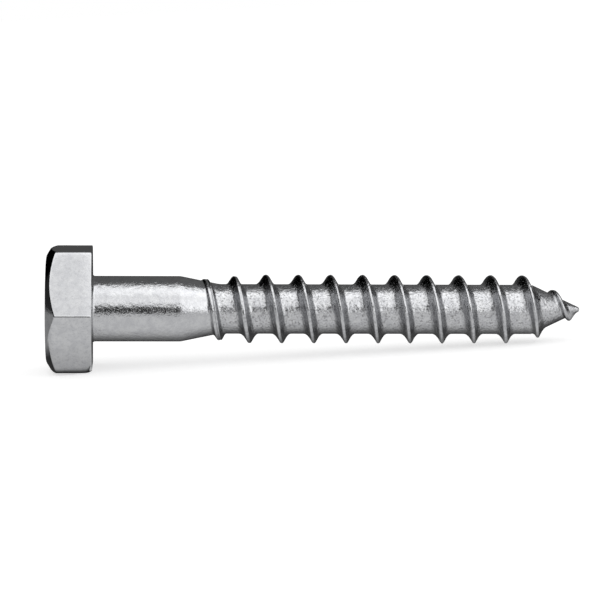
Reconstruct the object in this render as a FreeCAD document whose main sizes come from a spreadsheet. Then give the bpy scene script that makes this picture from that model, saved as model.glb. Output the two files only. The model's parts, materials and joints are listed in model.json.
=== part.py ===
"""Hexagon-head lag screw, 10 x 70 mm, lying as it comes to rest on its head and its thread.

The screw is one solid. It is built with its own axis along X: the bearing face of the head is
at X = 0, the head reaches to -X and the point to +X. The finished solid is then tipped
point-down until the head's lowest edge and a crest of the thread lie on the XY plane.
"""

import FreeCAD
import Part
import Sketcher

import math
import os

Vector = FreeCAD.Vector

# Driving dimensions in millimetres and degrees. A half angle is measured from the screw's axis.
SIZES = {
    "across_flats": 16.8,
    "head_height": 6.36,
    "head_face_dia": 14.7,
    "head_chamfer_angle": 31.0,
    "underhead_chamfer": 0.4,
    "screw_length": 68.2,
    "shank_dia": 9.1,
    "shank_length": 12.2,
    "neck_half_angle": 11.5,
    "root_dia": 6.91,
    "crest_dia": 9.63,
    "pitch": 4.5,
    "thread_angle": 60.0,
    "crest_flat": 0.18,
    "foot_width": 0.79,
    "foot_angle": 42.5,
    "thread_start": 14.4,
    "runout_turns": 1.7,
    "crest_below": 57.94,
    "point_half_angle": 25.2,
    "point_radius": 0.42,
    "crest_half_angle": 28.0,
    "crest_lead": 0.65,
    "point_fade_turns": 0.3,
}

# How finely the ridge's helical edges are laid out, and how its foot is let into the core.
STEPS_PER_TURN = 12
FOOT_DEPTH = 0.1
HIDDEN = 0.05
SMALLEST_RIDGE = 0.15


class Outline:
    """Stations along the axis and radii that follow from the driving dimensions."""

    def __init__(self, sizes):
        self.sizes = sizes
        self.shank = sizes.shank_dia / 2
        self.root = sizes.root_dia / 2
        self.crest = sizes.crest_dia / 2
        self.neck_slope = math.tan(math.radians(sizes.neck_half_angle))
        self.neck_end = sizes.shank_length + (self.shank - self.root) / self.neck_slope
        self.cone = math.radians(sizes.point_half_angle)
        self.ball_x = sizes.screw_length - sizes.point_radius
        self.cone_end = self.ball_x + sizes.point_radius * math.sin(self.cone)
        self.cone_end_radius = sizes.point_radius * math.cos(self.cone)
        cone_length = (self.root - self.cone_end_radius) / math.tan(self.cone)
        self.cone_start = self.cone_end - cone_length
        self.crest_slope = math.tan(math.radians(sizes.crest_half_angle))
        self.crest_cone_start = self.cone_start - sizes.crest_lead

    def core_radius(self, x):
        """Radius of the round core that carries the ridge, at this distance from the head."""
        neck = self.shank - (x - self.sizes.shank_length) * self.neck_slope
        point = self.cone_end_radius + (self.cone_end - x) * math.tan(self.cone)
        return min(self.shank, max(self.root, neck), point)

    def crest_cone(self, x):
        """Radius of the cone that brings the crest down towards the point."""
        return self.crest - (x - self.crest_cone_start) * self.crest_slope

    def crest_radius(self, x):
        """Radius of the crest: it climbs out of the neck, runs level and falls to the point."""
        sizes = self.sizes
        risen = (x - sizes.thread_start) / (sizes.runout_turns * sizes.pitch)
        first = self.core_radius(sizes.thread_start) - HIDDEN
        climbing = first + (self.crest - first) * risen
        fade = sizes.point_fade_turns * sizes.pitch
        last = self.core_radius(self.ball_x) - HIDDEN
        left = (self.ball_x - x) / fade
        falling = last + (self.crest_cone(self.ball_x - fade) - last) * left
        return min(self.crest, climbing, self.crest_cone(x), falling)

    def turn(self, x):
        """Angle round the axis from straight down, in radians, of the crest at this station."""
        return 2 * math.pi * (x - self.sizes.crest_below) / self.sizes.pitch


def make_sheet(doc):
    """Spreadsheet of the driving dimensions, one named cell each."""
    sheet = doc.addObject("Spreadsheet::Sheet", "sizes")
    for row, (name, value) in enumerate(SIZES.items(), start=1):
        sheet.set(f"A{row}", name)
        sheet.set(f"B{row}", str(value))
        sheet.setAlias(f"B{row}", name)
    doc.recompute()
    return sheet


def new_sketch(body, name, role):
    """Empty sketch lying on the plane of the body's own origin that has this role."""
    plane = next(item for item in body.Origin.OriginFeatures if item.Role == role)
    sketch = body.newObject("Sketcher::SketchObject", name)
    sketch.AttachmentSupport = [(plane, "")]
    sketch.MapMode = "FlatFace"
    return sketch


def drive(sketch, kind, *places, by, start):
    """Add a dimension to the sketch and bind it to an expression of the sheet's cells."""
    index = sketch.addConstraint(Sketcher.Constraint(kind, *places, start))
    sketch.setExpression(f"Constraints[{index}]", by)


def relate(sketch, *relations):
    """Add geometric relations, each given as its kind and what it joins."""
    for relation in relations:
        sketch.addConstraint(Sketcher.Constraint(*relation))


def turned_profile(body, outline):
    """Half section of all that is round: underhead chamfer, shank, neck, core and point."""
    sizes = outline.sizes
    shank = outline.shank
    chamfer = sizes.underhead_chamfer
    corners = [
        Vector(0, shank + chamfer, 0),
        Vector(chamfer, shank, 0),
        Vector(sizes.shank_length, shank, 0),
        Vector(outline.neck_end, outline.root, 0),
        Vector(outline.cone_start, outline.root, 0),
        Vector(outline.cone_end, outline.cone_end_radius, 0),
    ]
    sketch = new_sketch(body, "turned_profile", "XY_Plane")
    chamfer_line, shank_line, neck_line, root_line, cone_line = [
        sketch.addGeometry(Part.LineSegment(first, last))
        for first, last in zip(corners, corners[1:])
    ]
    ball_centre = Vector(outline.ball_x, 0, 0)
    ball_circle = Part.Circle(ball_centre, Vector(0, 0, 1), sizes.point_radius)
    ball = sketch.addGeometry(Part.ArcOfCircle(ball_circle, 0, math.pi / 2 - outline.cone))
    tip = Vector(sizes.screw_length, 0, 0)
    axis = sketch.addGeometry(Part.LineSegment(tip, Vector(0, 0, 0)))
    bearing = sketch.addGeometry(Part.LineSegment(Vector(0, 0, 0), corners[0]))
    relate(
        sketch,
        ("Coincident", chamfer_line, 2, shank_line, 1),
        ("Coincident", shank_line, 2, neck_line, 1),
        ("Coincident", neck_line, 2, root_line, 1),
        ("Coincident", root_line, 2, cone_line, 1),
        ("Tangent", cone_line, 2, ball, 2),
        ("Coincident", ball, 1, axis, 1),
        ("Coincident", axis, 2, bearing, 1),
        ("Coincident", bearing, 2, chamfer_line, 1),
        ("Coincident", bearing, 1, -1, 1),
        ("PointOnObject", ball, 3, -1),
        ("Vertical", bearing),
        ("Horizontal", axis),
        ("Horizontal", shank_line),
        ("Horizontal", root_line),
    )
    length = sizes.shank_length
    rise = ("DistanceY", shank_line, 1, chamfer_line, 1)
    run = ("DistanceX", chamfer_line, 1, chamfer_line, 2)
    for place in (rise, run):
        drive(sketch, *place, by="sizes.underhead_chamfer", start=chamfer)
    drive(sketch, "Radius", ball, by="sizes.point_radius", start=sizes.point_radius)
    drive(sketch, "DistanceX", -1, 1, axis, 1, by="sizes.screw_length", start=tip.x)
    drive(sketch, "DistanceX", -1, 1, neck_line, 1, by="sizes.shank_length", start=length)
    drive(sketch, "DistanceY", -1, 1, shank_line, 2, by="sizes.shank_dia / 2", start=shank)
    drive(sketch, "DistanceY", -1, 1, root_line, 1, by="sizes.root_dia / 2", start=outline.root)
    drive(
        sketch,
        "DistanceX",
        neck_line,
        1,
        neck_line,
        2,
        by="(sizes.shank_dia - sizes.root_dia) / 2 / tan(sizes.neck_half_angle * 1 deg)",
        start=outline.neck_end - sizes.shank_length,
    )
    drive(
        sketch,
        "Angle",
        cone_line,
        2,
        axis,
        1,
        by="sizes.point_half_angle * 1 deg",
        start=outline.cone,
    )
    return sketch


def hexagon(body, sizes):
    """Regular hexagon across the axis, with one of its flats straight down."""
    flat = sizes.across_flats / 2
    reach = flat / math.cos(math.radians(30))
    turns = [math.radians(turn) for turn in range(-120, 240, 60)]
    corners = [Vector(reach * math.cos(turn), reach * math.sin(turn), 0) for turn in turns]
    sketch = new_sketch(body, "hexagon", "YZ_Plane")
    sides = [
        sketch.addGeometry(Part.LineSegment(first, last))
        for first, last in zip(corners, corners[1:] + corners[:1])
    ]
    ring = sketch.addGeometry(Part.Circle(Vector(0, 0, 0), Vector(0, 0, 1), reach), True)
    relate(sketch, ("Coincident", ring, 3, -1, 1), ("Horizontal", sides[0]))
    for side, following in zip(sides, sides[1:] + sides[:1]):
        relate(sketch, ("Coincident", side, 2, following, 1), ("PointOnObject", side, 1, ring))
    for side in sides[1:]:
        relate(sketch, ("Equal", sides[0], side))
    drive(sketch, "DistanceY", sides[0], 1, -1, 1, by="sizes.across_flats / 2", start=flat)
    return sketch


def cut_corners(body, sizes):
    """Groove round the head that takes its corners off from the end face inwards."""
    rim = sizes.head_face_dia / 2
    outside = sizes.across_flats
    depth = (outside - rim) * math.tan(math.radians(sizes.head_chamfer_angle))
    end = -sizes.head_height
    corners = [Vector(end, rim, 0), Vector(end, outside, 0), Vector(end + depth, outside, 0)]
    sketch = new_sketch(body, "top_chamfer_profile", "XY_Plane")
    face, top, slope = [
        sketch.addGeometry(Part.LineSegment(first, last))
        for first, last in zip(corners, corners[1:] + corners[:1])
    ]
    relate(
        sketch,
        ("Coincident", face, 2, top, 1),
        ("Coincident", top, 2, slope, 1),
        ("Coincident", slope, 2, face, 1),
        ("Vertical", face),
        ("Horizontal", top),
    )
    run = "(sizes.across_flats - sizes.head_face_dia / 2) * tan(sizes.head_chamfer_angle * 1 deg)"
    drive(sketch, "DistanceX", face, 1, -1, 1, by="sizes.head_height", start=-end)
    drive(sketch, "DistanceY", -1, 1, face, 1, by="sizes.head_face_dia / 2", start=rim)
    drive(sketch, "DistanceY", -1, 1, face, 2, by="sizes.across_flats", start=outside)
    drive(sketch, "DistanceX", top, 1, top, 2, by=run, start=depth)
    groove = body.newObject("PartDesign::Groove", "top_chamfer")
    groove.Profile = sketch
    groove.ReferenceAxis = (sketch, ["H_Axis"])
    groove.Angle = 360


def make_blank(doc, outline):
    """The screw before its thread: the round core with its point, and the hexagon head."""
    body = doc.addObject("PartDesign::Body", "screw_blank")
    profile = turned_profile(body, outline)
    core = body.newObject("PartDesign::Revolution", "turned_core")
    core.Profile = profile
    core.ReferenceAxis = (profile, ["H_Axis"])
    core.Angle = 360
    head_profile = hexagon(body, outline.sizes)
    head = body.newObject("PartDesign::Pad", "head")
    head.Profile = head_profile
    head.Reversed = True
    head.setExpression("Length", "sizes.head_height")
    cut_corners(body, outline.sizes)
    return body


def ridge_section(outline, x):
    """Corners of the ridge's section at a station, as (offset along X, radius), foot to foot.

    The section is a wedge with a flat crest that spreads in a bevel at its foot. Where the ridge
    is low the whole section shrinks, down to a smallest size that sinks into the core.
    """
    sizes = outline.sizes
    full_height = outline.crest - outline.root + FOOT_DEPTH
    height = outline.crest_radius(x) - outline.core_radius(x) + FOOT_DEPTH
    scale = min(1, max(SMALLEST_RIDGE, height / full_height))
    top = outline.crest_radius(x)
    base = top - full_height * scale
    foot_width = sizes.foot_width * scale
    foot_top = base + foot_width * math.tan(math.radians(sizes.foot_angle))
    half_crest = sizes.crest_flat / 2 * scale
    half_waist = half_crest + (top - foot_top) * math.tan(math.radians(sizes.thread_angle / 2))
    side = [(half_waist + foot_width, base), (half_waist, foot_top), (half_crest, top)]
    return [(-offset, radius) for offset, radius in side] + side[::-1]


def helical_curve(points):
    """Smooth curve through points that follow the helix at equal steps of turn."""
    curve = Part.BSplineCurve()
    curve.interpolate(Points=points, Parameters=[float(step) for step in range(len(points))])
    return curve


def strip(first, last):
    """Ruled surface between two helical curves that were laid out at the same steps."""
    surface = Part.BSplineSurface()
    surface.buildFromPolesMultsKnots(
        [list(pair) for pair in zip(first.getPoles(), last.getPoles())],
        first.getMultiplicities(),
        [2, 2],
        first.getKnots(),
        [0.0, 1.0],
        False,
        False,
        first.Degree,
        1,
    )
    return surface


def make_ridge(outline):
    """The thread's helical ridge as a closed solid let a little into the core."""
    sizes = outline.sizes
    span = outline.ball_x - sizes.thread_start
    steps = math.ceil(span / sizes.pitch * STEPS_PER_TURN)
    stations = [sizes.thread_start + span * step / steps for step in range(steps + 1)]
    columns = [[] for _ in ridge_section(outline, stations[0])]
    for x in stations:
        turn = outline.turn(x)
        for column, (offset, radius) in zip(columns, ridge_section(outline, x)):
            column.append(Vector(x + offset, radius * math.sin(turn), -radius * math.cos(turn)))
    curves = [helical_curve(column) for column in columns]
    surfaces = [strip(first, last) for first, last in zip(curves, curves[1:] + curves[:1])]
    faces = [surface.toShape() for surface in surfaces]
    for end in (0.0, float(steps)):
        rim = [surface.uIso(end).toShape() for surface in surfaces]
        faces.append(Part.Face(Part.Wire(Part.__sortEdges__(rim))))
    shell = Part.Shell(faces)
    shell.sewShape()
    ridge = Part.Solid(Part.Shell(shell.Faces))
    if ridge.Volume < 0:
        ridge.reverse()
    return ridge


def rest_tilt(outline):
    """Angle in degrees at which the head's lowest edge and the thread both touch the floor."""
    sizes = outline.sizes
    flat = sizes.across_flats / 2
    steps = range(int(outline.ball_x / sizes.pitch * 360))
    stations = [step * sizes.pitch / 360 for step in steps]
    slopes = [
        (flat - outline.crest_radius(x) * math.cos(outline.turn(x))) / x
        for x in stations
        if x > sizes.thread_start
    ]
    return math.degrees(math.atan(min(slopes)))


def main():
    os.makedirs("parts", exist_ok=True)
    doc = FreeCAD.newDocument("lag_screw")
    outline = Outline(make_sheet(doc))
    blank = make_blank(doc, outline)
    ridge = doc.addObject("Part::Feature", "thread_ridge")
    ridge.Shape = make_ridge(outline)
    doc.recompute()

    screw = doc.addObject("Part::Fuse", "lag_screw")
    screw.Label = "lag_screw"
    screw.Base = blank
    screw.Tool = ridge
    doc.recompute()
    tilt = rest_tilt(outline)
    screw.Placement = FreeCAD.Placement(Vector(0, 0, 0), FreeCAD.Rotation(Vector(0, 1, 0), tilt))
    doc.recompute()
    box = screw.Shape.optimalBoundingBox(False, False)
    seat = Vector(-box.Center.x, -box.Center.y, -box.ZMin)
    screw.Placement = FreeCAD.Placement(seat, FreeCAD.Rotation(Vector(0, 1, 0), tilt))
    doc.recompute()

    for item in doc.Objects:
        if "Invalid" in item.State or "Error" in item.State:
            raise RuntimeError(f"{item.Name} did not rebuild: {item.State}")
    for item in (blank, ridge, screw):
        if item.Shape.isNull() or not item.Shape.isValid() or len(item.Shape.Solids) != 1:
            raise RuntimeError(f"{item.Name} is not one valid solid")
    if screw.Shape.Volume < blank.Shape.Volume + ridge.Shape.Volume / 2:
        raise RuntimeError("the blank has not taken up the thread")
    screw.Shape.exportStep("parts/lag_screw.step")
    print(f"tilt {tilt:.9f} deg, bearing face at {tuple(seat)}")


main()
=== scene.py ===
"""Looks of a hexagon-head lag screw that lies on its head and its thread.

The head and the threaded rod are meshes built from the sizes below, in metres, along the screw's
own axis: the bearing face of the head is at 0, the head reaches to -X and the point to +X.
"""

import json
import math

import bpy
import numpy as np
from mathutils import Matrix, Vector


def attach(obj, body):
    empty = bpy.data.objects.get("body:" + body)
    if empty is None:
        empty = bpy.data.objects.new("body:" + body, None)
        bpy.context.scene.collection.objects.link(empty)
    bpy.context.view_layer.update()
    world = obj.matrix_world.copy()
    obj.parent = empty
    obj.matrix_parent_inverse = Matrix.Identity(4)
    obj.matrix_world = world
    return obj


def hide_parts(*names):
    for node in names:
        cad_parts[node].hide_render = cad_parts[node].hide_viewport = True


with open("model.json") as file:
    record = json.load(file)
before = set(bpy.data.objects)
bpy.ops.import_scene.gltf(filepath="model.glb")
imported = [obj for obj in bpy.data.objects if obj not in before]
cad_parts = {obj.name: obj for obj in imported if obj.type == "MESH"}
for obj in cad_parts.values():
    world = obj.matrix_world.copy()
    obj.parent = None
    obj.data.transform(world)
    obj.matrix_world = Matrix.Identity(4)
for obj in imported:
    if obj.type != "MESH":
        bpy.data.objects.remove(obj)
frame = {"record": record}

bl_info = {
    "name": "Lag screw",
    "version": (1, 0, 0),
    "blender": (4, 5, 0),
    "location": "View3D > Sidebar > Lag screw",
    "description": "Builds a zinc plated hexagon-head lag screw and a plain studio round it",
    "category": "Add Mesh",
}

MM = 0.001
NODE = "lag_screw"
# Layers of the meshes: how pitted the plating is, and where the ridge's flanks get painted shade.
WORN = "worn"
PAINTED_FLANK_SHADE = "painted_flank_shade"
# Vertices in one turn round the rod.
COLUMNS = 128
# How wide the rod's bends are: the least one, and those at the neck, the point and the crest.
LEAST_BEND = 0.05 * MM
NECK_BEND = 0.08 * MM
POINT_BEND = 0.12 * MM
CREST_BEND = 0.06 * MM
# How deep in the core the ridge begins, and how wide the seam on its crest is.
HIDDEN = 0.05 * MM
SEAM_WIDTH = 0.06 * MM
# Turns over which the thread's start is shifted towards the point.
SHIFTED_TURNS = 1.35
# Length past the thread's start over which the plating stays smooth, and then turns pitted.
SMOOTH_START = 1.6 * MM
# How far round the head its knocked corner and its worn chamfer reach.
KNOCK_WIDTH = math.radians(7)
WEAR_WIDTH = math.radians(22)
# Depth and seed of the head's slow waves, and depth of the fine grain in the plating.
HEAD_WAVES = 0.014 * MM
HEAD_SEED = 11
GRAIN_DEPTH = 0.001 * MM


def length(name, default_mm, description):
    """A length property whose default is given in millimetres."""
    return bpy.props.FloatProperty(
        name=name,
        description=description,
        default=default_mm * MM,
        min=0,
        precision=5,
        unit="LENGTH",
    )


def angle(name, default_degrees, description):
    """An angle property whose default is given in degrees."""
    return bpy.props.FloatProperty(
        name=name,
        description=description,
        default=math.radians(default_degrees),
        unit="ROTATION",
    )


def share(name, default, description):
    """A plain number between nothing and one."""
    return bpy.props.FloatProperty(
        name=name,
        description=description,
        default=default,
        min=0,
        max=1,
        subtype="FACTOR",
    )


def colour(name, default, description):
    """A colour property in scene-linear red, green and blue."""
    return bpy.props.FloatVectorProperty(
        name=name,
        description=description,
        default=default,
        size=3,
        min=0,
        max=1,
        subtype="COLOR",
    )


class HeadSizes(bpy.types.PropertyGroup):
    """Sizes of the hexagon head and its soft edges"""

    across_flats: length("Across flats", 16.8, "Width of the hexagon over two flats")
    height: length("Height", 6.36, "Height of the head from the bearing face to the end face")
    face_dia: length("End face", 14.7, "Diameter of the round end face inside the chamfer")
    chamfer: angle("Chamfer", 31, "Slope of the chamfer from the end face")
    face_softness: length("End face edge", 0.3, "How far the end face's edge is rounded over")
    chamfer_softness: length("Chamfer edge", 0.22, "How far the chamfer's lower edge is rounded")
    worn_softness: length("Worn chamfer edge", 0.8, "The same on the one flat where it is worn")
    worn_flat: angle("Worn flat at", 212, "Where round the head that flat is")
    bearing_softness: length("Bearing edge", 0.2, "How far the bearing face's edge is rounded")
    dented_softness: length("Dented corner", 1.0, "Rounding of the one corner that is knocked")
    dented_corner: angle("Dented corner at", 240, "Where round the head the knocked corner is")
    corner_sharpness: bpy.props.FloatProperty(
        name="Corner sharpness",
        description="Power that rounds the six upright edges; more is sharper",
        default=75,
        min=10,
        max=400,
    )


class RodSizes(bpy.types.PropertyGroup):
    """Sizes of the shank, the neck, the thread and the point"""

    shank_dia: length("Shank", 9.1, "Diameter of the plain shank")
    shank_length: length("Shank length", 12.2, "Length of the plain shank under the head")
    underhead: length("Underhead radius", 0.4, "Fillet between the shank and the head")
    neck: angle("Neck", 11.5, "Half angle of the neck between the shank and the thread's core")
    root_dia: length("Core", 6.91, "Diameter of the thread's core")
    crest_dia: length("Crest", 9.63, "Diameter over the thread's crests")
    pitch: length("Pitch", 4.5, "Distance between neighbouring crests")
    head_flank: angle("Head-side flank", 31.2, "Slope of the flank that faces the head")
    tip_flank: angle("Point-side flank", 27, "Slope of the flank that faces the point")
    crest_flat: length("Crest flat", 0.11, "Width of the flat on the crest")
    young_flat: length("Flat of the first turn", 0.26, "What the crest is wider by where it starts")
    head_softness: length("Head-side lip", 0.26, "Rounding between the crest and that flank")
    tip_softness: length("Point-side lip", 0.15, "Rounding between the crest and that flank")
    root_rounding: length("Root rounding", 0.85, "How far up the flanks the root's curve reaches")
    thread_start: length("Thread start", 14.4, "Where the ridge comes out of the neck")
    crest_below: length("Lowest crest", 57.94, "Where a crest passes straight below the axis")
    first_shift: length("First turn", 0.62, "How far the thread's start sits towards the point")
    point: angle("Point", 25.2, "Half angle of the point's cone")
    point_radius: length("Point radius", 0.42, "Radius of the blunt tip")
    crest_cone: angle("Crest cone", 28, "Half angle at which the crest falls to the point")
    crest_lead: length("Crest lead", 0.65, "How far before the core the crest starts to fall")
    overall: length("Length", 68.2, "Length of the screw under its head")
    seam: length("Crest seam", 0.045, "Depth of the seam where the crest's two lips meet")
    seam_place: length("Seam place", 0.11, "How far towards the point the seam runs")
    rolling_marks: length("Rolling marks", 0.012, "Height of the lines the dies leave")
    mark_spacing: length("Mark spacing", 0.36, "Distance between those lines")
    unevenness: length("Unevenness", 0.035, "How far the crest's height wanders")
    run_out: bpy.props.FloatProperty(
        name="Run-out turns",
        description="Turns over which the ridge grows to its full height",
        default=1.7,
        min=0.2,
        max=4,
    )
    fade: bpy.props.FloatProperty(
        name="Fade turns",
        description="Turns over which the ridge sinks into the tip",
        default=0.1,
        min=0.05,
        max=2,
    )


class ZincLook(bpy.types.PropertyGroup):
    """Colours and roughness of the zinc plating"""

    bright: colour("Bright zinc", (0.53, 0.535, 0.545), "Colour of clean plating")
    dull: colour("Dull zinc", (0.46, 0.465, 0.48), "Colour of dull patches in the plating")
    # The stain colour makes the dark specks and is also the painted shade on the thread's flanks.
    stain_and_flank_shade: colour("Stain", (0.16, 0.16, 0.165), "Colour of dark specks; dulls the flanks too")
    smooth: share("Smoothest", 0.07, "Roughness of the smoothest plating")
    rough: share("Roughest", 0.15, "Roughness of the dullest plating")
    seed: bpy.props.IntProperty(
        name="Seed",
        description="Picks the pattern of the unevenness",
        default=4,
        min=0,
    )


class StudioSettings(bpy.types.PropertyGroup):
    """Place of the camera and look of the floor"""

    lens: bpy.props.FloatProperty(
        name="Lens",
        description="Focal length of the camera on a 36 mm sensor",
        default=145.9,
        min=10,
        max=500,
        unit="CAMERA",
    )
    distance: length("Distance", 338.35, "Camera's distance from the screw's axis")
    foot: length("Foot", 5.45, "Place on the axis that the camera is square to")
    elevation: angle("Elevation", 7, "Camera's height above level, round the axis")
    yaw: angle("Yaw", 3.956, "How far the camera is turned towards the point")
    pitch_up: angle("Pitch", 0.2123, "How far the camera is turned up")
    roll: angle("Roll", 0.107, "How far the camera leans, so that the point sits lower")
    floor_colour: colour("Floor", (0.5, 0.5, 0.5), "Colour of the floor paper")
    floor_glow: share("Floor glow", 0.62, "How white the floor shows where no light falls")


class ScrewSettings(bpy.types.PropertyGroup):
    """All settings of the screw and its studio"""

    head: bpy.props.PointerProperty(type=HeadSizes, name="Head", description="Sizes of the head")
    rod: bpy.props.PointerProperty(type=RodSizes, name="Rod", description="Sizes of the rod")
    zinc: bpy.props.PointerProperty(type=ZincLook, name="Zinc", description="Look of the zinc")
    studio: bpy.props.PointerProperty(
        type=StudioSettings, name="Studio", description="Camera and floor"
    )


def smooth_max(first, second, width):
    """The larger of two, with the corner between them rounded over this width."""
    gap = first - second
    rounded = (gap + width) ** 2 / (4 * width)
    return second + np.where(gap > width, gap, np.where(gap < -width, 0, rounded))


def smooth_min(first, second, width):
    """The smaller of two, with the corner between them rounded over this width."""
    return -smooth_max(-first, -second, width)


def waves(seed, along, round_axis, span, turns, count):
    """Sum of slow waves along the axis and round it, between about -1 and 1.

    span is the shortest wave along the axis, turns the most waves in one turn round it.
    """
    rng = np.random.default_rng(seed)
    total = np.zeros(np.broadcast(along, round_axis).shape)
    for _ in range(count):
        step = rng.integers(1, turns + 1)
        rate = rng.uniform(0.4, 1.0) * 2 * math.pi / span
        phase = rng.uniform(0, 2 * math.pi)
        total += np.sin(rate * along + step * round_axis + phase)
    return total / math.sqrt(2 * count)


def seat_of_axis(rod):
    """Matrix that lays the screw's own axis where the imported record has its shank."""
    shank = next(mount for mount in frame["record"]["mounts"] if mount["name"] == "shank")
    axis = Vector(shank["axis"]).normalized()
    back = rod.underhead + shank["dims"]["length_mm"] * MM / 2
    origin = Vector(shank["pos_m"]) - axis * back
    across = Vector((0, 1, 0))
    up = axis.cross(across)
    return Matrix.Translation(origin) @ Matrix((axis, across, up)).transposed().to_4x4()


def add_piece(name, points, faces, layers, material, placed):
    """Smooth mesh object that stands for the node and rides with it.

    layers has the values that the material reads at each vertex, by name.
    """
    mesh = bpy.data.meshes.new(name)
    mesh.from_pydata(points.tolist(), [], faces)
    mesh.validate()
    for layer_name, values in layers.items():
        layer = mesh.attributes.new(layer_name, "FLOAT", "POINT")
        layer.data.foreach_set("value", values.astype(np.float32))
    mesh.shade_smooth()
    mesh.transform(placed)
    mesh.materials.append(material)
    piece = bpy.data.objects.new(name, mesh)
    bpy.context.scene.collection.objects.link(piece)
    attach(piece, "root")
    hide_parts(NODE)
    return piece


def round_the_axis(x, radius, turn):
    """Points at this radius, turn being the angle from straight down."""
    return np.stack([x, radius * np.sin(turn), -radius * np.cos(turn)], axis=-1)


class RodSurface:
    """Radius of the rod at any place along the axis and any turn round it."""

    def __init__(self, rod, seed):
        self.rod = rod
        self.seed = seed
        self.shank = rod.shank_dia / 2
        self.root = rod.root_dia / 2
        self.crest = rod.crest_dia / 2
        self.ball = rod.overall - rod.point_radius
        self.cone_end = self.ball + rod.point_radius * math.sin(rod.point)
        self.cone_end_radius = rod.point_radius * math.cos(rod.point)
        cone = (self.root - self.cone_end_radius) / math.tan(rod.point)
        self.cone_start = self.cone_end - cone

    def core(self, x):
        """Radius of the round core."""
        rod = self.rod
        neck = self.shank - (x - rod.shank_length) * math.tan(rod.neck)
        cone = self.cone_end_radius + (self.cone_end - x) * math.tan(rod.point)
        radius = smooth_min(self.shank, smooth_max(neck, self.root, NECK_BEND), LEAST_BEND)
        radius = smooth_min(radius, cone, POINT_BEND)
        near = np.clip((rod.underhead - x) / rod.underhead, 0, 1)
        fillet = rod.underhead * (1 - np.sqrt(1 - near**2))
        tip = np.sqrt(np.clip(rod.point_radius**2 - (x - self.ball) ** 2, 0, None))
        return np.where(x > self.cone_end, tip, radius + fillet)

    def crest_height(self, x):
        """Radius of the crest: it climbs out of the neck, runs level and falls to the point."""
        rod = self.rod
        span = rod.run_out * rod.pitch
        first = self.core(rod.thread_start) - HIDDEN
        climbing = first + (self.crest - first) * (x - rod.thread_start) / span
        start = self.cone_start - rod.crest_lead
        falling = self.crest - (x - start) * math.tan(rod.crest_cone)
        fade = rod.fade * rod.pitch
        last = self.crest - (self.ball - fade - start) * math.tan(rod.crest_cone)
        sinking = last * (self.ball - x) / fade
        level = smooth_min(climbing, self.crest, CREST_BEND)
        return np.minimum(np.minimum(level, falling), sinking)

    def radius(self, x, turn, offset):
        """Radius of the surface, offset being the distance from the nearest crest along X."""
        rod = self.rod
        core = self.core(x)
        crest_x = x - offset
        wander = waves(self.seed, crest_x, turn, span=9 * MM, turns=5, count=9)
        crest = self.crest_height(crest_x)
        top = crest - rod.unevenness * (0.5 + 0.5 * np.clip(wander, -1, 1)) - rod.rolling_marks
        grown = np.clip((crest - self.core(crest_x)) / (self.crest - self.root), 0, 1)
        fresh = np.clip(1 - (crest_x - rod.thread_start) / (rod.run_out * rod.pitch), 0, 1)
        flat = rod.crest_flat / 2 + fresh * rod.young_flat
        slope = np.where(offset < 0, math.tan(rod.head_flank), math.tan(rod.tip_flank))
        beyond = np.maximum(np.abs(offset) - flat, 0)
        soft = np.where(offset < 0, rod.head_softness, rod.tip_softness)
        drop = np.where(beyond < soft, beyond**2 / (2 * soft), beyond - soft / 2) / slope
        seam_depth = rod.seam * (1 + 2 * fresh) * np.clip(grown * 6, 0, 1)
        seam = seam_depth * np.exp(-(((offset - rod.seam_place) / SEAM_WIDTH) ** 2))
        drift = waves(self.seed + 1, crest_x, turn, span=14 * MM, turns=4, count=6)
        marks = rod.rolling_marks * np.sin(2 * math.pi * offset / rod.mark_spacing + 2.5 * drift)
        ridge = top - drop - seam + marks * np.clip(grown * 2, 0, 1)
        rounding = np.maximum(rod.root_rounding * grown, LEAST_BEND)
        raised = smooth_max(ridge, core, rounding)
        present = (crest_x > rod.thread_start - 0.5 * rod.pitch) & (grown > 0)
        return np.where(present, np.maximum(raised, core), core)


def ridge_offsets(pitch):
    """Places across one turn at which the surface is laid out, closest at the crest."""
    near = [0.03, 0.06, 0.09, 0.12, 0.17, 0.24, 0.32, 0.41, 0.5, 0.59, 0.68]
    far = [0.77, 0.86, 0.95, 1.06, 1.18, 1.34, 1.55, 1.8, 2.03]
    side = np.array(near + far) * MM
    return np.concatenate([[-pitch / 2], -side[::-1], [0], side])


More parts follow.
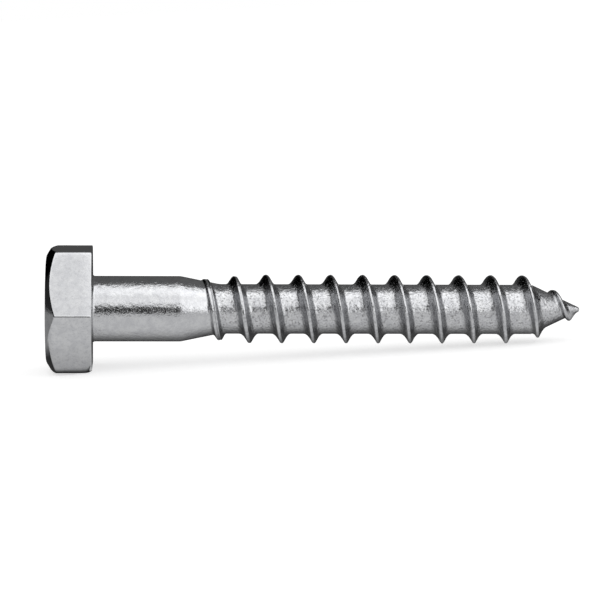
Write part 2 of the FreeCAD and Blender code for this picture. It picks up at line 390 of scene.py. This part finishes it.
def helical_grid(surface, first_ring, last_ring):
    """Vertices that follow the thread between two rings, and the faces that join them.

    Rows beyond a ring are drawn back onto it, so the grid ends in a clean circle each side.
    """
    rod = surface.rod
    offsets = ridge_offsets(rod.pitch)
    rows = len(offsets)
    before = math.ceil((rod.crest_below - first_ring) / rod.pitch) + 1
    after = math.ceil((last_ring - rod.crest_below) / rod.pitch) + 1
    crests = rod.crest_below + rod.pitch * np.arange(-before, after + 1)
    column = np.arange(COLUMNS)
    turn = 2 * math.pi * column / COLUMNS
    offset = np.tile(offsets, len(crests))[:, None]
    x = np.repeat(crests, rows)[:, None] + offset + rod.pitch * column / COLUMNS
    past_start = (x - rod.thread_start) / (SHIFTED_TURNS * rod.pitch)
    x = x + rod.first_shift * np.clip(1 - past_start, 0, 1)
    offset = np.broadcast_to(offset, x.shape)
    turns = np.broadcast_to(turn, x.shape)
    radius = surface.radius(x, turns, offset)
    index = np.full(x.shape, -1)
    low = x <= first_ring
    high = x >= last_ring
    inside = ~(low | high)
    index[inside] = 2 * COLUMNS + np.arange(inside.sum())
    index[low] = np.broadcast_to(column, x.shape)[low]
    index[high] = COLUMNS + np.broadcast_to(column, x.shape)[high]
    points = round_the_axis(x, radius, turns)
    rings = []
    for place in (first_ring, last_ring):
        along = np.full(COLUMNS, place)
        rings.append(round_the_axis(along, surface.core(along), turn))
    wrapped = np.concatenate([index[:-rows], index[rows:, :1]], axis=1)
    corners = np.stack(
        [wrapped[:-1, :-1], wrapped[1:, :-1], wrapped[1:, 1:], wrapped[:-1, 1:]],
        axis=-1,
    )
    faces = []
    for quad in corners.reshape(-1, 4).tolist():
        kept = [corner for place, corner in enumerate(quad) if corner != quad[place - 1]]
        if len(kept) > 2:
            faces.append(kept)
    return np.concatenate(rings + [points[inside]]), faces


def lathe_rings(surface, places, start):
    """Rings of vertices round the axis, numbered from start, and the faces between them."""
    turn = 2 * math.pi * np.arange(COLUMNS) / COLUMNS
    core = surface.core(np.array(places))[:, None]
    x = np.broadcast_to(np.array(places)[:, None], (len(places), COLUMNS))
    points = round_the_axis(x, core, turn).reshape(-1, 3)
    faces = []
    for ring in range(len(places) - 1):
        faces += join_rings(start + ring * COLUMNS, start + (ring + 1) * COLUMNS)
    return points, faces


def join_rings(first, second):
    """Faces between two rings of vertices, each given by the number of its first vertex."""
    return [
        [first + side, second + side, second + (side + 1) % COLUMNS, first + (side + 1) % COLUMNS]
        for side in range(COLUMNS)
    ]


def rod_mesh(rod, seed):
    """Points, faces and vertex layers of the shank, the neck, the thread and the point."""
    surface = RodSurface(rod, seed)
    beside_bend = 0.4 * MM
    first_ring = rod.shank_length + beside_bend
    last_ring = surface.cone_end
    points, faces = helical_grid(surface, first_ring, last_ring)
    fillet = rod.underhead * (1 - np.cos(np.linspace(0, math.pi / 2, 7)))
    shank = np.linspace(rod.underhead, rod.shank_length - beside_bend, 14)[1:]
    neck = rod.shank_length + np.array([-0.2, 0, 0.2]) * MM
    places = np.concatenate([fillet, shank, neck])
    start = len(points)
    shank_points, shank_faces = lathe_rings(surface, places, start)
    points = np.concatenate([points, shank_points])
    faces += shank_faces + join_rings(start + (len(places) - 1) * COLUMNS, 0)
    swing = np.linspace(math.pi / 2 - rod.point, 0, 9)[1:-1]
    start = len(points)
    ball = surface.ball + rod.point_radius * np.cos(swing)
    ball_points, ball_faces = lathe_rings(surface, ball, start)
    points = np.concatenate([points, ball_points, [[rod.overall, 0, 0], [0, 0, 0]]])
    faces += join_rings(COLUMNS, start) + ball_faces
    tip = len(points) - 2
    under_head = tip + 1
    last = tip - COLUMNS
    first = tip - len(ball_points) - len(shank_points)
    for side in range(COLUMNS):
        faces.append([last + side, tip, last + (side + 1) % COLUMNS])
    for side in range(COLUMNS):
        faces.append([first + (side + 1) % COLUMNS, under_head, first + side])
    # The plating is pitted past the neck, less so up the ridge, and the ridge's flanks get painted
    # shade.
    x = points[:, 0]
    core = surface.core(x)
    raised = np.hypot(points[:, 1], points[:, 2]) - core
    smoother = 1 - 0.5 * np.clip(raised / (0.5 * MM), 0, 1)
    past_neck = x - rod.thread_start - SMOOTH_START
    worn = np.clip(0.25 + 0.75 * past_neck / SMOOTH_START, 0, 1) * smoother
    climbed = raised / np.maximum(surface.crest_height(x) - core, 0.1 * MM)
    painted_flank_shade = np.clip(climbed / 0.2, 0, 1) * np.clip((0.85 - climbed) / 0.15, 0, 1)
    return points, faces, {WORN: worn, PAINTED_FLANK_SHADE: painted_flank_shade}


def hexagon_turns():
    """Angles round the head, closest together at its six corners."""
    near = [0, 0.35, 0.8, 1.4, 2.2, 3.2, 4.6, 6.5, 9.5, 14, 19, 24.5]
    sector = [-step for step in near[:0:-1]] + near + [30]
    return np.radians([60 * corner + step for corner in range(6) for step in sector])


def round_over(before, corner, after, reach, steps):
    """Points of a soft curve that replaces a corner of the outline, reach being its size."""
    towards = before - corner
    away = after - corner
    towards = towards / np.linalg.norm(towards, axis=-1, keepdims=True)
    away = away / np.linalg.norm(away, axis=-1, keepdims=True)
    first = corner + towards * reach
    last = corner + away * reach
    shares = np.linspace(0, 1, steps)
    return [first * (1 - t) ** 2 + corner * 2 * t * (1 - t) + last * t**2 for t in shares]


def head_mesh(head, bore):
    """Points, faces and vertex layers of the hexagon head."""
    turn = hexagon_turns()
    flats = np.radians(np.arange(30, 390, 60))
    reach = np.clip(np.cos(turn[:, None] - flats), 0, None) ** head.corner_sharpness
    side = head.across_flats / 2 / np.sum(reach, axis=1) ** (1 / head.corner_sharpness)
    slope = math.tan(head.chamfer)
    rim = head.face_dia / 2
    end = np.full(len(turn), -head.height)
    zero = np.zeros(len(turn))

    def ring(x, radius):
        radius = np.broadcast_to(radius, turn.shape)
        return np.stack([x, radius], axis=-1)

    def turned_from(place):
        return (turn - place + math.pi) % (2 * math.pi) - math.pi

    face_edge = ring(end, rim)
    low_edge = ring(end + (side - rim) * slope, side)
    bearing_edge = ring(zero, side)
    inner = ring(zero, bore)
    knock = np.exp(-((turned_from(head.dented_corner) / KNOCK_WIDTH) ** 2))
    bearing_reach = head.bearing_softness + (head.dented_softness - head.bearing_softness) * knock
    outline = [ring(end, rim * part) for part in (0.2, 0.4, 0.6, 0.8)]
    outline += round_over(ring(end, 0), face_edge, low_edge, head.face_softness, 6)
    wear = np.exp(-((turned_from(head.worn_flat) / WEAR_WIDTH) ** 4))
    chamfer_reach = head.chamfer_softness + (head.worn_softness - head.chamfer_softness) * wear
    outline += round_over(face_edge, low_edge, bearing_edge, chamfer_reach[:, None], 8)
    outline += [low_edge * (1 - part) + bearing_edge * part for part in (0.3, 0.5, 0.7)]
    outline += round_over(low_edge, bearing_edge, inner, bearing_reach[:, None], 6)
    outline += [inner, ring(zero + 0.02 * MM, bore * 0.85)]
    rings = np.array(outline)
    wander = waves(HEAD_SEED, rings[..., 0], turn, span=4 * MM, turns=14, count=14)
    radius = rings[..., 1] - HEAD_WAVES * (1 + np.clip(wander, -1, 1))
    points = np.stack([rings[..., 0], radius * np.cos(turn), radius * np.sin(turn)], axis=-1)
    count = len(turn)
    points = np.concatenate([points.reshape(-1, 3), [[-head.height, 0, 0], [0, 0, 0]]])
    faces = []
    for low in range(0, (len(outline) - 1) * count, count):
        high = low + count
        for place in range(count):
            following = (place + 1) % count
            faces.append([low + place, low + following, high + following, high + place])
    centre = len(points) - 2
    last = (len(outline) - 1) * count
    for place in range(count):
        following = (place + 1) % count
        faces.append([centre, following, place])
        faces.append([last + place, last + following, centre + 1])
    return points, faces, {WORN: np.full(len(points), 0.2), PAINTED_FLANK_SHADE: np.zeros(len(points))}


def link(tree, output, target):
    """Joins an output socket to an input socket."""
    tree.links.new(output, target)


def noise(tree, coordinates, size, detail, roughness):
    """Noise whose features are about this size in metres."""
    node = tree.nodes.new("ShaderNodeTexNoise")
    node.inputs["Scale"].default_value = 1 / size
    node.inputs["Detail"].default_value = detail
    node.inputs["Roughness"].default_value = roughness
    link(tree, coordinates, node.inputs["Vector"])
    return node.outputs["Fac"]


def spread(tree, value, low, high, to_low, to_high):
    """Stretches a value from one range to another and holds it there."""
    node = tree.nodes.new("ShaderNodeMapRange")
    node.inputs["From Min"].default_value = low
    node.inputs["From Max"].default_value = high
    node.inputs["To Min"].default_value = to_low
    node.inputs["To Max"].default_value = to_high
    link(tree, value, node.inputs["Value"])
    return node.outputs["Result"]


def math_node(tree, operation, first, second):
    """Arithmetic on two values, each a socket or a plain number."""
    node = tree.nodes.new("ShaderNodeMath")
    node.operation = operation
    for socket, value in zip(node.inputs, (first, second)):
        if isinstance(value, (int, float)):
            socket.default_value = value
        else:
            link(tree, value, socket)
    return node.outputs["Value"]


def blend_colour(tree, factor, first, second):
    """Mixes two colours, each a socket or a plain colour."""
    node = tree.nodes.new("ShaderNodeMix")
    node.data_type = "RGBA"
    link(tree, factor, node.inputs["Factor"])
    for name, value in (("A", first), ("B", second)):
        socket = next(item for item in node.inputs if item.name == name and item.type == "RGBA")
        if isinstance(value, bpy.types.NodeSocket):
            link(tree, value, socket)
        else:
            socket.default_value = (*value, 1)
    return next(item for item in node.outputs if item.type == "RGBA")


def vertex_layer(tree, name):
    """Value that the mesh carries at its vertices under this name."""
    node = tree.nodes.new("ShaderNodeAttribute")
    node.attribute_name = name
    return node.outputs["Fac"]


def bump(tree, height, depth):
    """Bump node that raises the surface by this depth where the height is 1."""
    node = tree.nodes.new("ShaderNodeBump")
    node.inputs["Strength"].default_value = 1
    node.inputs["Distance"].default_value = depth
    link(tree, height, node.inputs["Height"])
    return node


def zinc_material(name, look, dent_size, dent_depth):
    """Zinc plating with dull patches, dark specks, painted shade on the thread's flanks, shallow
    dents and a fine grain.
    """
    material = bpy.data.materials.new(name)
    material.use_nodes = True
    tree = material.node_tree
    tree.nodes.clear()
    coordinates = tree.nodes.new("ShaderNodeTexCoord").outputs["Object"]
    worn = vertex_layer(tree, WORN)
    painted_flank_shade = vertex_layer(tree, PAINTED_FLANK_SHADE)
    patches = noise(tree, coordinates, 1.0 * MM, detail=6, roughness=0.66)
    specks = noise(tree, coordinates, 0.30 * MM, detail=5, roughness=0.6)
    dents = noise(tree, coordinates, dent_size, detail=4, roughness=0.55)
    pits = noise(tree, coordinates, 0.2 * MM, detail=2, roughness=0.5)
    grain = noise(tree, coordinates, 0.09 * MM, detail=3, roughness=0.6)
    dull = spread(tree, patches, 0.40, 0.60, 0, 1)
    spots = spread(tree, specks, 0.53, 0.66, 0, 1)
    spots = math_node(tree, "MULTIPLY", spots, spread(tree, worn, 0, 1, 0.04, 0.8))
    plated = blend_colour(tree, dull, look.bright, look.dull)
    # Painted shade: the thread's flanks are darkened towards the stain colour.
    flank_shade_share = spread(tree, painted_flank_shade, 0, 1, 0, 0.23)
    plated = blend_colour(tree, flank_shade_share, plated, look.stain_and_flank_shade)
    stained = blend_colour(tree, spots, plated, look.stain_and_flank_shade)
    roughness = spread(tree, patches, 0.35, 0.7, look.smooth, look.rough)
    uneven = math_node(tree, "MULTIPLY", dents, spread(tree, worn, 0, 1, 0.8, 1.15))
    pitted = spread(tree, pits, 0.32, 0.44, 0, 0.28)
    pitted = math_node(tree, "MULTIPLY", pitted, spread(tree, worn, 0, 1, 0.25, 1))
    uneven = math_node(tree, "ADD", uneven, pitted)
    fine = bump(tree, grain, GRAIN_DEPTH)
    broad = bump(tree, uneven, dent_depth)
    link(tree, fine.outputs["Normal"], broad.inputs["Normal"])
    shader = tree.nodes.new("ShaderNodeBsdfPrincipled")
    shader.inputs["Metallic"].default_value = 1
    link(tree, stained, shader.inputs["Base Color"])
    link(tree, roughness, shader.inputs["Roughness"])
    link(tree, broad.outputs["Normal"], shader.inputs["Normal"])
    output = tree.nodes.new("ShaderNodeOutputMaterial")
    link(tree, shader.outputs["BSDF"], output.inputs["Surface"])
    return material


class ForgeHead(bpy.types.Operator):
    """Builds the hexagon head with its chamfer, soft edges and one knocked corner"""

    bl_idname = "lag_screw.forge_head"
    bl_label = "Forge the head"

    def execute(self, context):
        settings = context.scene.lag_screw
        zinc = zinc_material(
            "zinc_on_forged_head", settings.zinc, dent_size=0.45 * MM, dent_depth=0.014 * MM
        )
        bore = settings.rod.shank_dia / 2 + settings.rod.underhead * 0.9
        points, faces, layers = head_mesh(settings.head, bore)
        add_piece("hexagon_head", points, faces, layers, zinc, seat_of_axis(settings.rod))
        return {"FINISHED"}


class RollThread(bpy.types.Operator):
    """Builds the shank, the neck, the rolled thread and the point as one closed mesh"""

    bl_idname = "lag_screw.roll_thread"
    bl_label = "Turn the shank and roll the thread"

    def execute(self, context):
        settings = context.scene.lag_screw
        zinc = zinc_material(
            "zinc_on_rolled_thread", settings.zinc, dent_size=0.5 * MM, dent_depth=0.08 * MM
        )
        points, faces, layers = rod_mesh(settings.rod, settings.zinc.seed)
        add_piece("threaded_rod", points, faces, layers, zinc, seat_of_axis(settings.rod))
        return {"FINISHED"}


# Glow of the light tent by its angle round the screw's axis: 0 is level towards the camera, 90 is
# straight up and 180 is level behind.
TENT_GLOW = (
    (-10, 0.05),
    (13, 0.05),
    (18, 0.8),
    (25, 1.25),
    (32, 1.55),
    (44, 1.25),
    (53, 1.25),
    (62, 1.6),
    (80, 1.7),
    (92, 1.35),
    (96, 0.35),
    (98, 0.16),
    (150, 0.13),
    (170, 0.08),
    (185, 0.05),
)
# Glow of the shaded floor as the screw mirrors it, by distance behind the screw's axis in mm.
SHADE_GLOW = (
    (-46.0, 0.72),
    (-30.0, 0.82),
    (-20.0, 0.86),
    (-12.0, 0.88),
    (-7.5, 0.86),
    (-5.0, 0.80),
    (-3.0, 0.63),
    (-1.2, 0.38),
    (0.5, 0.22),
    (4.3, 0.07),
    (10.0, 0.06),
    (40.0, 0.05),
    (300.0, 0.03),
)
# The same under the head, which stands on the floor there.
HEAD_SHADE_GLOW = (
    (-14.0, 0.90),
    (-9.6, 0.87),
    (-8.5, 0.79),
    (-6.9, 0.69),
    (-5.7, 0.64),
    (-5.35, 0.40),
    (-5.15, 0.04),
    (300.0, 0.03),
)
# The screw sinks towards its point, so what it mirrors of the floor lies closer in there: place
# along the floor in mm, stretch and shift in mm of the distances above.
SHADE_STRETCH = ((-30.4, 1.0, 0.0), (0.0, 1.27, 0.5), (15.0, 1.45, 1.3), (30.0, 2.2, 2.4))
TENT_RADIUS = 300 * MM
TENT_LENGTH = 700 * MM
# Angles at which the tent begins and ends, and from which its back is black beside the head.
TENT_FROM = -14
TENT_TO = 186
BLACK_FROM = 125
# Past this place along the screw the tent's front is bright below this angle.
OPEN_FROM = 55 * MM
OPEN_BELOW = 34
OPEN_GLOW = 1.5
# Glow of the studio's unlit cards.
DARK = 0.03


def glow_material(name):
    """Plain emission whose strength is read from the mesh's own layer."""
    material = bpy.data.materials.new(name)
    material.use_nodes = True
    tree = material.node_tree
    tree.nodes.clear()
    layer = tree.nodes.new("ShaderNodeAttribute")
    layer.attribute_name = "glow"
    emission = tree.nodes.new("ShaderNodeEmission")
    emission.inputs["Color"].default_value = (1, 1, 1, 1)
    link(tree, layer.outputs["Fac"], emission.inputs["Strength"])
    output = tree.nodes.new("ShaderNodeOutputMaterial")
    link(tree, emission.outputs["Emission"], output.inputs["Surface"])
    return material


def add_stage(name, points, faces, material):
    """Mesh object of the studio, which isn't part of the screw."""
    mesh = bpy.data.meshes.new(name)
    mesh.from_pydata(points, [], faces)
    mesh.materials.append(material)
    item = bpy.data.objects.new(name, mesh)
    bpy.context.scene.collection.objects.link(item)
    return item


def add_glowing_card(name, columns, glow, material):
    """Grid of the studio that only shows in the screw's reflections.

    columns are rows of (x, y, z) places, and glow has the strength of each place.
    """
    count = len(columns[0])
    faces = [
        [start, start + 1, start + count + 1, start + count]
        for column in range(len(columns) - 1)
        for start in range(column * count, column * count + count - 1)
    ]
    points = [place for column in columns for place in column]
    card = add_stage(name, points, faces, material)
    layer = card.data.attributes.new("glow", "FLOAT", "POINT")
    layer.data.foreach_set("value", np.ravel(glow).astype(np.float32))
    card.visible_camera = False
    card.visible_diffuse = False
    card.visible_shadow = False
    return card


def drawn_along(places, rows):
    """The same cross-section, rows of (y, z), at each of these places along X."""
    return [[(x, y, z) for y, z in rows] for x in places]


def hang_tent(material):
    """Tunnel of light over the screw, with a dark back and an open front past the point."""
    half = TENT_LENGTH / 2
    degrees = np.arange(TENT_FROM, TENT_TO + 1, 2.0)
    arch = [
        (-TENT_RADIUS * math.cos(step), TENT_RADIUS * math.sin(step))
        for step in np.radians(degrees)
    ]
    glow = np.interp(degrees, *zip(*TENT_GLOW))
    black_back = np.where(degrees > BLACK_FROM, 0, glow)
    # Over the thread the tent is a little brighter, and its bright part ends further back.
    over_thread = np.where((degrees > 90) & (degrees < 97), 1.35, glow) * 1.15
    open_front = np.where(degrees < OPEN_BELOW, OPEN_GLOW, glow) * 1.25
    edge = 15 * MM
    columns = (
        (-half, black_back),
        (-72 * MM, black_back),
        (-42 * MM, glow),
        (-15 * MM, glow),
        (0, over_thread),
        (OPEN_FROM - edge, over_thread),
        (OPEN_FROM + edge, open_front),
        (half, open_front),
    )
    places, levels = zip(*columns)
    add_glowing_card("light_tent", drawn_along(places, arch), levels, material)


def hang_dark_gap(material):
    """Dark sheet that slopes up from the floor before the screw to the tent's front."""
    columns = [
        [(far * MM, -TENT_RADIUS, 70 * MM), (near * MM, -47 * MM, 0.6 * MM)]
        for far, near in ((-350, -350), (-20, -25), (50, -2))
    ]
    add_glowing_card("dark_gap", columns, [0.05, 0.05, 0.05, 0.05, 0.16, 0.16], material)


def shade_floor(material):
    """Card just over the floor that shows, in the screw's reflections, the floor it shades."""
    half = TENT_LENGTH / 2
    across = np.concatenate([[-46, -30, -20], np.linspace(-14, 12, 105), [20, 40, 80, 300]])
    by_shank = np.interp(across, *zip(*SHADE_GLOW))
    by_head = np.interp(across, *zip(*HEAD_SHADE_GLOW))
    lit = np.maximum(by_shank, 0.34)
    beside_head = np.where(across < -4.9, by_head, by_shank)
    bright = np.full(len(across), 0.8)
    columns = [
        (-half, lit),
        (-47 * MM, lit),
        (-41 * MM, by_head),
        (-31.3 * MM, by_head),
        (-31 * MM, beside_head),
        (-30.6 * MM, beside_head),
    ]
    for x, stretch, shift in SHADE_STRETCH:
        shaded = np.interp(across * stretch + shift, *zip(*SHADE_GLOW))
        columns.append((x * MM, shaded))
    columns += [(38 * MM, shaded), (46 * MM, bright), (half, bright)]
    places, levels = zip(*columns)
    rows = [(y * MM, 0.15 * MM) for y in across]
    add_glowing_card("shaded_floor", drawn_along(places, rows), levels, material)


def close_ends(material):
    """Upright card at each end of the tent, its front dark by the head and bright by the point."""
    half = TENT_LENGTH / 2
    middle = 30 * MM
    for name, x, front_glow in (("card_by_head", -half, DARK), ("card_by_point", half, 1.3)):
        wall = [
            [(x, y, 0), (x, y, TENT_RADIUS)]
            for y in (-TENT_RADIUS, -middle, middle, TENT_RADIUS)
        ]
        add_glowing_card(name, wall, [front_glow] * 4 + [DARK] * 4, material)


def lay_floor(studio):
    """Wide sheet of pale paper that shows white and keeps the screw's shadow."""
    material = bpy.data.materials.new("floor_paper")
    material.use_nodes = True
    tree = material.node_tree
    tree.nodes.clear()
    paper = tree.nodes.new("ShaderNodeBsdfDiffuse")
    paper.inputs["Color"].default_value = (*studio.floor_colour, 1)
    glow = tree.nodes.new("ShaderNodeEmission")
    glow.inputs["Color"].default_value = (1, 1, 1, 1)
    path = tree.nodes.new("ShaderNodeLightPath").outputs
    seen = math_node(tree, "MAXIMUM", path["Is Camera Ray"], path["Is Glossy Ray"])
    seen = math_node(tree, "MAXIMUM", seen, path["Is Transmission Ray"])
    link(tree, math_node(tree, "MULTIPLY", seen, studio.floor_glow), glow.inputs["Strength"])
    both = tree.nodes.new("ShaderNodeAddShader")
    link(tree, paper.outputs["BSDF"], both.inputs[0])
    link(tree, glow.outputs["Emission"], both.inputs[1])
    output = tree.nodes.new("ShaderNodeOutputMaterial")
    link(tree, both.outputs["Shader"], output.inputs["Surface"])
    half = 20
    corners = [(-half, -half, 0), (half, -half, 0), (half, half, 0), (-half, half, 0)]
    return add_stage("floor", corners, [[0, 1, 2, 3]], material)


def white_surroundings():
    """World of plain white all round."""
    world = bpy.data.worlds.new("white_surroundings")
    bpy.context.scene.world = world
    world.use_nodes = True
    background = world.node_tree.nodes["Background"]
    background.inputs["Color"].default_value = (1, 1, 1, 1)
    background.inputs["Strength"].default_value = 1


def place_camera(studio, placed):
    """Long lens, nearly level and square to the shank, set by its place round the screw's axis."""
    towards = Vector((0, -math.cos(studio.elevation), math.sin(studio.elevation)))
    along = Vector((1, 0, 0))
    up = along.cross(-towards)
    eye = along * studio.foot + towards * studio.distance
    right = along * math.cos(studio.yaw) + towards * math.sin(studio.yaw)
    back = right.cross(up)
    turned = Matrix((right, up, back)).transposed()
    turned = turned @ Matrix.Rotation(studio.pitch_up, 3, "X")
    turned = turned @ Matrix.Rotation(studio.roll, 3, "Z")
    data = bpy.data.cameras.new("camera")
    data.lens = studio.lens
    data.sensor_width = 36
    data.clip_start = 0.01
    data.clip_end = 100
    camera = bpy.data.objects.new("camera", data)
    bpy.context.scene.collection.objects.link(camera)
    camera.matrix_world = placed @ Matrix.Translation(eye) @ turned.to_4x4()
    bpy.context.scene.camera = camera


class SetStage(bpy.types.Operator):
    """Lays the pale floor, hangs the light tent and its dark cards, and sets up the camera"""

    bl_idname = "lag_screw.set_stage"
    bl_label = "Set the stage"

    def execute(self, context):
        settings = context.scene.lag_screw
        context.scene.view_settings.view_transform = "Standard"
        white_surroundings()
        lay_floor(settings.studio)
        light = glow_material("tent_light")
        hang_tent(light)
        hang_dark_gap(light)
        shade_floor(light)
        close_ends(light)
        place_camera(settings.studio, seat_of_axis(settings.rod))
        return {"FINISHED"}


class LagScrewPanel(bpy.types.Panel):
    """Lists the screw's operators and sizes in the sidebar"""

    bl_idname = "VIEW3D_PT_lag_screw"
    bl_label = "Lag screw"
    bl_space_type = "VIEW_3D"
    bl_region_type = "UI"
    bl_category = "Lag screw"

    def draw(self, context):
        settings = context.scene.lag_screw
        for operator in (ForgeHead, RollThread, SetStage):
            self.layout.operator(operator.bl_idname)
        for group in (settings.head, settings.rod, settings.zinc, settings.studio):
            box = self.layout.box()
            for name in group.__annotations__:
                box.prop(group, name)


CLASSES = (
    HeadSizes,
    RodSizes,
    ZincLook,
    StudioSettings,
    ScrewSettings,
    ForgeHead,
    RollThread,
    SetStage,
    LagScrewPanel,
)


def register():
    """Makes the classes and the scene's settings known."""
    for item in CLASSES:
        bpy.utils.register_class(item)
    bpy.types.Scene.lag_screw = bpy.props.PointerProperty(type=ScrewSettings)


def unregister():
    """Takes the scene's settings and the classes away again."""
    del bpy.types.Scene.lag_screw
    for item in reversed(CLASSES):
        bpy.utils.unregister_class(item)


def main():
    """Builds every piece in order."""
    register()
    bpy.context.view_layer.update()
    bpy.ops.lag_screw.forge_head()
    bpy.ops.lag_screw.roll_thread()
    bpy.ops.lag_screw.set_stage()


if __name__ == "__main__":
    main()
